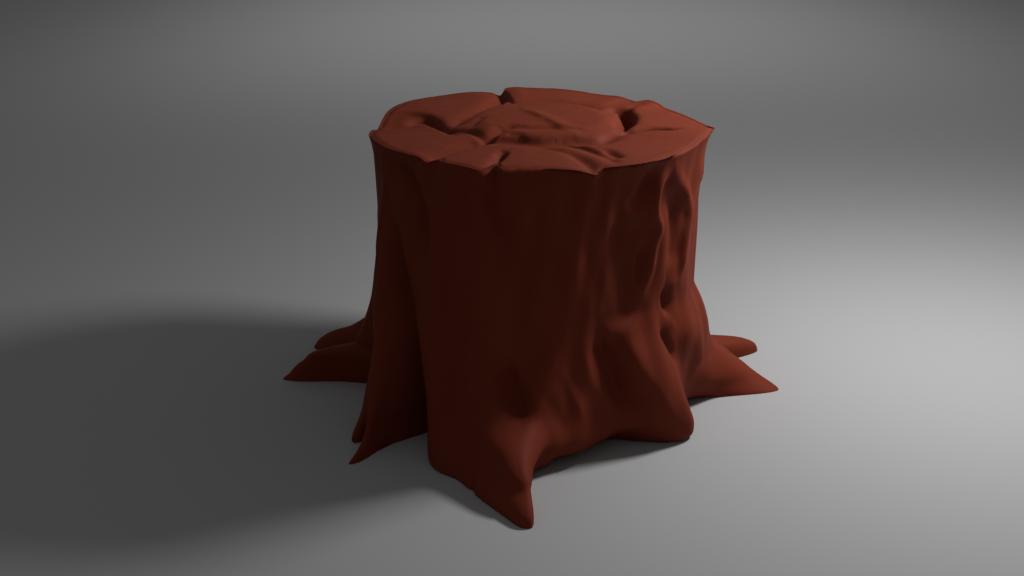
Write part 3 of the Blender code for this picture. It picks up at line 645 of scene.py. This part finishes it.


# The wood's finish: matt, dark reddish brown all through, with faint streaks along the grain and
# paler patches at random. Painted highlight makes the ridges paler, painted sheen makes the sawn
# face paler and greyer, and painted shade makes the hollows darker.
WOOD_COLOUR = (0.160, 0.028, 0.014, 1.0)
# Colour of the painted shade in the hollows, also taken by the darker streaks along the grain
HOLLOW_SHADE_AND_STREAK_WOOD = (0.110, 0.016, 0.007, 1.0)
# Colour of the painted highlight on the raised ridges, also taken by paler patches at random
RIDGE_LIGHT_AND_PATCH_WOOD = (0.190, 0.031, 0.014, 1.0)
# Colour of the painted sheen on the sawn face, paler and greyer than the wall
SAWN_FACE_SHEEN = (0.168, 0.033, 0.016, 1.0)
WOOD_ROUGHNESS = 0.62
WOOD_GLOSS = 0.06
PATCHES_PER_METRE = 7.0
STREAKS_PER_METRE = 42.0
PORES_PER_METRE = 260.0
PORE_DEPTH = 0.0006
RIDGE_HEIGHT = 0.008
HOLLOW_DEPTH = 0.016


def wood_material():
    """Weathered wood whose colour and roughness follow the marks on the skin; its colour holds
    painted shade, highlight and sheen.
    """
    material = bpy.data.materials.new("weathered wood")
    material.use_nodes = True
    tree = material.node_tree
    shader = tree.nodes["Principled BSDF"]
    start = Wired(tree)
    grain_read = start.node("ShaderNodeAttribute", {"attribute_name": "grain"}, {}, "Vector")
    hollow_read = start.node("ShaderNodeAttribute", {"attribute_name": "hollow"}, {}, "Fac")
    multiply = {"operation": "MULTIPLY"}
    along_grain = start.node("ShaderNodeVectorMath", multiply, {0: grain_read, 1: (1.0, 1.0, 0.15)})
    streaks = start.node("ShaderNodeTexNoise", {}, {
        "Vector": along_grain, "Scale": STREAKS_PER_METRE, "Detail": 3.0})
    patches = start.node("ShaderNodeTexNoise", {}, {
        "Vector": grain_read, "Scale": PATCHES_PER_METRE, "Detail": 2.0})
    hollow = start.node("ShaderNodeMapRange", {}, {
        "Value": hollow_read, "From Min": -RIDGE_HEIGHT, "From Max": HOLLOW_DEPTH,
        "To Min": 0.0, "To Max": 1.0})
    # Painted highlight: the raised ridges are made paler, and paler patches at random add real tone
    ridge_light_and_patches = (1 - hollow) * 0.5 + (patches - 0.5) * 0.8
    # Painted shade: the hollows are darkened by their depth, and the grain streaks add real darker
    # lines
    shade_and_streaks = hollow * 0.8 + (streaks - 0.5) * 0.7
    blend = {"data_type": "RGBA", "clamp_factor": True}
    paler = start.node("ShaderNodeMix", blend, {0: ridge_light_and_patches * 0.6, 6: WOOD_COLOUR, 7: RIDGE_LIGHT_AND_PATCH_WOOD}, 2)
    sawn_read = start.node("ShaderNodeAttribute", {"attribute_name": "sawn"}, {}, "Fac")
    # Painted sheen: the sawn face is made paler and greyer, as the lamp's sheen on it looks
    sawn_sheen = start.node("ShaderNodeMix", blend, {0: sawn_read * 0.8, 6: paler, 7: SAWN_FACE_SHEEN}, 2)
    colour = start.node("ShaderNodeMix", blend, {0: shade_and_streaks * 0.6, 6: sawn_sheen, 7: HOLLOW_SHADE_AND_STREAK_WOOD}, 2)
    roughness = WOOD_ROUGHNESS + (streaks - 0.5) * 0.12 + hollow * 0.06
    pores = start.node("ShaderNodeTexNoise", {}, {
        "Vector": along_grain, "Scale": PORES_PER_METRE, "Detail": 3.0})
    bump = start.node("ShaderNodeBump", {}, {
        "Strength": 0.25, "Distance": PORE_DEPTH, "Height": pores})
    shader.inputs["Specular IOR Level"].default_value = WOOD_GLOSS
    tree.links.new(colour.socket, shader.inputs["Base Color"])
    tree.links.new(roughness.socket, shader.inputs["Roughness"])
    tree.links.new(bump.socket, shader.inputs["Normal"])
    return material


weathering = stump.modifiers.new("weathering", "NODES")
weathering.node_group = weathering_tree()
settings = {
    "Ripple depth": 0.0011, "Ripples per metre": 60.0,
    "Fibre depth": 0.0004, "Fibres per metre": 240.0,
    "Seed": 3.0, "Wood": wood_material(),
}
for item in weathering.node_group.interface.items_tree:
    if item.in_out == "INPUT" and item.name in settings:
        weathering[item.identifier] = settings[item.name]
shown = stump.evaluated_get(bpy.context.evaluated_depsgraph_get())
weathered_skin = bpy.data.meshes.new_from_object(shown)
stump.modifiers.remove(weathering)
stump.data = weathered_skin
weathered_skin.name = "stump_wood"

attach(stump, "root")
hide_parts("stump")

# The floor: a plain pale studio floor, matt, level and wide enough to fill every view.
FLOOR_SIZE = 24.0
FLOOR_GREY = 0.40

bpy.ops.mesh.primitive_plane_add(size=FLOOR_SIZE)
floor = bpy.context.object
floor.name = "studio_floor"
floor_material = bpy.data.materials.new("pale floor")
floor_material.use_nodes = True
floor_shader = floor_material.node_tree.nodes["Principled BSDF"]
floor_shader.inputs["Base Color"].default_value = (FLOOR_GREY, FLOOR_GREY, FLOOR_GREY, 1.0)
floor_shader.inputs["Roughness"].default_value = 0.9
floor_shader.inputs["Specular IOR Level"].default_value = 0.1
floor.data.materials.append(floor_material)

# The light: one soft lamp over the stump's right, a wide one over the far floor, and a faint sky.
LAMP_PLACE = (0.865, 0.133, 1.10)
LAMP_POWER = 53.0
LAMP_RADIUS = 0.12
FAR_LAMP_PLACE = (0.2, 3.9, 2.6)
FAR_LAMP_POWER = 10.5
FAR_LAMP_SIZE = 3.0
FAR_LAMP_SPREAD = 70
SKY_STRENGTH = 0.135

lamp_light = bpy.data.lights.new("lamp", "POINT")
lamp_light.energy = LAMP_POWER
lamp_light.shadow_soft_size = LAMP_RADIUS
lamp = bpy.data.objects.new("lamp", lamp_light)
lamp.location = LAMP_PLACE
lamp.visible_camera = False
bpy.context.scene.collection.objects.link(lamp)

far_light = bpy.data.lights.new("far lamp", "AREA")
far_light.energy = FAR_LAMP_POWER
far_light.size = FAR_LAMP_SIZE
far_light.spread = math.radians(FAR_LAMP_SPREAD)
far_lamp = bpy.data.objects.new("far lamp", far_light)
far_lamp.location = FAR_LAMP_PLACE
far_lamp.visible_camera = False
bpy.context.scene.collection.objects.link(far_lamp)

sky = bpy.data.worlds.new("sky")
sky.use_nodes = True
sky_light = sky.node_tree.nodes["Background"]
sky_light.inputs["Color"].default_value = (1.0, 1.0, 1.0, 1.0)
sky_light.inputs["Strength"].default_value = SKY_STRENGTH
bpy.context.scene.world = sky
bpy.context.scene.view_settings.view_transform = "Standard"

# The camera: level with no lean, a little left of the trunk's middle, looking down at the front.
CAMERA_PLACE = (-0.0527, -2.47, 1.1537)
CAMERA_TILT = 20.9
CAMERA_LENS = 50
CAMERA_SENSOR = 36

camera_data = bpy.data.cameras.new("camera")
camera_data.lens = CAMERA_LENS
camera_data.sensor_width = CAMERA_SENSOR
camera = bpy.data.objects.new("camera", camera_data)
camera.location = CAMERA_PLACE
camera.rotation_euler = (math.radians(90 - CAMERA_TILT), 0, 0)
bpy.context.scene.collection.objects.link(camera)
bpy.context.scene.camera = camera
